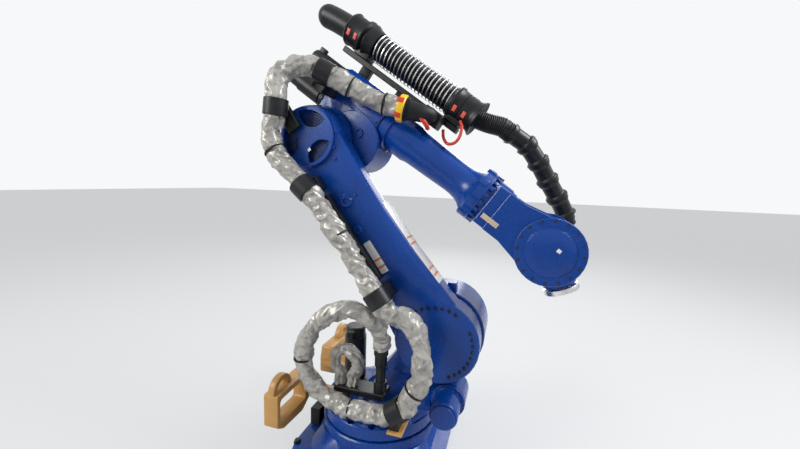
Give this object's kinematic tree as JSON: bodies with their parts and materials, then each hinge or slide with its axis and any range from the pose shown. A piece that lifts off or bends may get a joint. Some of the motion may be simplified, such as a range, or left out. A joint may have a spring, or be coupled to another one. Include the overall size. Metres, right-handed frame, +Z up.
{
  "type": "industrial robot arm",
  "caption": "Six-axis articulated factory robot arm on a bolted base, with a sleeved hose loop at its foot, clamped hoses along its arm and a sprung dress pack above its forearm.",
  "frame": {"origin": "centre of the base's foot on the ground, on the axis of the turntable", "axes": "+Z up from the ground, +X the way the arm reaches, +Y away from the side that carries the hoses"},
  "size_m": [1.4954, 0.8803, 2.3876],
  "materials": {
    "blue_paint": "gloss blue enamel on cast iron",
    "black_plastic": "satin black moulded plastic and motor paint",
    "ochre_paint": "satin ochre enamel",
    "silver_cloth": "aluminium-faced heat cloth, creased",
    "yellow_plastic": "satin yellow moulded plastic",
    "bright_steel": "bright steel"
  },
  "bodies": {
    "base": {"base_casting": "blue_paint", "base_connector_box": "black_plastic"},
    "head": {"head_casting": "blue_paint", "head_drive_cylinder": "blue_paint", "head_drive_cap": "blue_paint", "s_axis_motor": "black_plastic", "l_axis_motor": "black_plastic", "connector_shelf": "black_plastic", "connector_bundle": "black_plastic", "hose_bracket": "ochre_paint", "loop_clamp": "black_plastic", "sleeve_loop_right": "silver_cloth", "sleeve_loop_left": "silver_cloth", "sleeve_inner_loop": "silver_cloth", "fork_pocket_near": "ochre_paint", "fork_pocket_far": "ochre_paint"},
    "lower_arm": {"lower_arm_casting": "blue_paint", "boss_cover": "blue_paint", "boss_screen": "black_plastic", "arm_cable_rail": "black_plastic", "arm_clamp_low": "black_plastic", "arm_clamp_mid": "black_plastic", "arm_clamp_top": "black_plastic", "sleeve_arm": "silver_cloth"},
    "elbow": {"elbow_casting": "blue_paint", "u_axis_motor": "black_plastic", "wrist_motor_near": "black_plastic", "wrist_motor_top": "black_plastic", "wrist_motor_far": "black_plastic", "lifting_eye": "blue_paint", "elbow_clamp": "black_plastic", "sleeve_over_elbow": "silver_cloth", "sleeve_to_gland": "silver_cloth", "cable_gland": "yellow_plastic", "gland_collar": "black_plastic", "junction_box": "black_plastic", "pack_rail": "black_plastic", "pack_clamp_rear": "black_plastic", "pack_clamp_front": "black_plastic", "pack_rear_tube": "black_plastic", "pack_hose": "black_plastic", "pack_spring": "bright_steel", "pack_front_hose": "black_plastic", "pack_conduit": "black_plastic", "pack_end_fitting": "black_plastic"},
    "forearm": {"forearm_tube": "blue_paint", "wrist_fork": "blue_paint", "wrist_cover_near": "blue_paint", "wrist_cover_far": "blue_paint"},
    "wrist": {"wrist_unit": "blue_paint"},
    "tool_flange": {"tool_flange": "bright_steel"}
  },
  "joints": [
    {"name": "s_axis", "type": "hinge", "parent": "base", "child": "head", "pos_m": [0, 0, 0.2], "axis": [0, 0, 1], "range_deg": [-180, 180]},
    {"name": "l_axis", "type": "hinge", "parent": "head", "child": "lower_arm", "pos_m": [0.335, 0, 0.68], "axis": [0, 1, 0], "range_deg": [-25, 110], "deforming": ["sleeve_loop_right", "sleeve_loop_left"]},
    {"name": "u_axis", "type": "hinge", "parent": "lower_arm", "child": "elbow", "pos_m": [-0.31189, 0, 1.62475], "axis": [0, -1, 0], "range_deg": [-12, 155], "deforming": ["sleeve_over_elbow"]},
    {"name": "r_axis", "type": "hinge", "parent": "elbow", "child": "forearm", "pos_m": [-0.16814, 0, 1.82929], "axis": [0.8181, 0, -0.575], "range_deg": [-360, 360]},
    {"name": "b_axis", "type": "hinge", "parent": "forearm", "child": "wrist", "pos_m": [0.80546, 0, 1.14504], "axis": [0, 1, 0], "range_deg": [-158, 92]},
    {"name": "t_axis", "type": "hinge", "parent": "wrist", "child": "tool_flange", "pos_m": [0.80546, 0, 1.14504], "axis": [0.373, 0, -0.9278], "range_deg": [-360, 360]}
  ]
}
